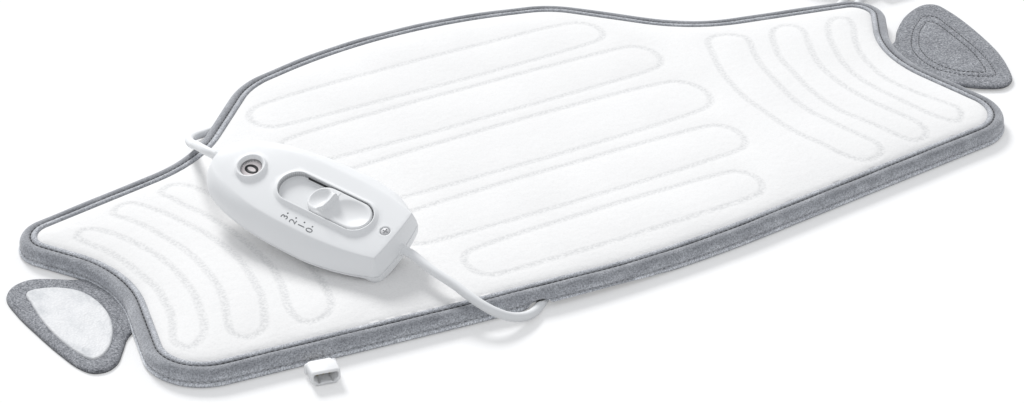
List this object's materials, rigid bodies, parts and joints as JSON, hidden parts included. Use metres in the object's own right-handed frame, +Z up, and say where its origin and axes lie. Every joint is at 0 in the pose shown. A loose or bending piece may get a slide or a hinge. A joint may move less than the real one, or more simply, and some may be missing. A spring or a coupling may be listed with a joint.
{
  "type": "heating pad with controller",
  "caption": "Contoured soft heating pad with bound edge, side closing tabs and coupling socket, wired to a hand controller with a slide switch and a level window; mains cord and plug.",
  "frame": {"origin": "middle of the pad's underside, on the surface it lies on", "axes": "+X along the pad's length towards the tab without a top patch, +Y to the back edge with the bulge, +Z up"},
  "size_m": [0.6616, 0.3405, 0.0508],
  "materials": {
    "plush": "fine white plush",
    "wadding": "soft wadding",
    "carrier": "woven carrier",
    "wire": "silicone coated",
    "binding": "velour tape",
    "felt": "mottled felt",
    "hook": "hook tape",
    "shell": "satin",
    "button": "satin",
    "socket": "glossy",
    "grommet": "satin",
    "plug": "satin",
    "cord": "smooth",
    "dark": "matt",
    "brass": "bright",
    "nickel": "nickel plated",
    "board": "solder mask",
    "lens": "polished",
    "lamp": "diffused",
    "film": "coated",
    "fuse_glass": "clear"
  },
  "bodies": {
    "pad": {"bottom_cover": "plush", "capacitor": "film", "case_screw": "nickel", "circuit_board": "board", "contact_0": "brass", "contact_1": "brass", "contact_2": "brass", "contact_3": "brass", "cord_tie": "dark", "coupling_plug": "plug", "detent_spring": "nickel", "diode": "dark", "edge_binding": "binding", "fuse": "fuse_glass", "heater_carrier": "carrier", "heating_wire": "wire", "indicator_lamp": "lamp", "indicator_lens": "lens", "left_tab_seam": "felt", "lower_shell": "shell", "mains_coil": "cord", "mains_cord": "cord", "mains_plug": "plug", "nose_clamp": "dark", "nose_grommet": "grommet", "pad_lead": "cord", "padding": "wadding", "plug_pin_1": "nickel", "plug_pin_2": "nickel", "right_tab_seam": "felt", "socket_pin_1": "brass", "socket_pin_2": "brass", "socket_pin_3": "brass", "socket_shell": "socket", "socket_tail": "dark", "tail_clamp": "dark", "tail_grommet": "grommet", "thermal_cutout": "dark", "top_cover": "plush", "upper_shell": "shell"},
    "slide": {"slide_button": "button", "switch_carriage": "dark", "contact_bridge": "brass"},
    "left_flap": {"left_tab": "felt", "left_hook_patch": "hook"},
    "right_flap": {"right_tab": "felt", "right_hook_patch": "hook"}
  },
  "joints": [
    {"name": "slide_switch", "type": "slide", "parent": "pad", "child": "slide", "axis": [-0.4399, 0.89, 0.1201], "range_m": [0, 0.0174]},
    {"name": "left_tab_fold", "type": "hinge", "parent": "pad", "child": "left_flap", "pos_m": [-0.272, -0.04, 0.0026], "axis": [0, 1, 0], "range_deg": [0, 90]},
    {"name": "right_tab_fold", "type": "hinge", "parent": "pad", "child": "right_flap", "pos_m": [0.272, -0.04, 0.0037], "axis": [0, -1, 0], "range_deg": [0, 90]}
  ]
}
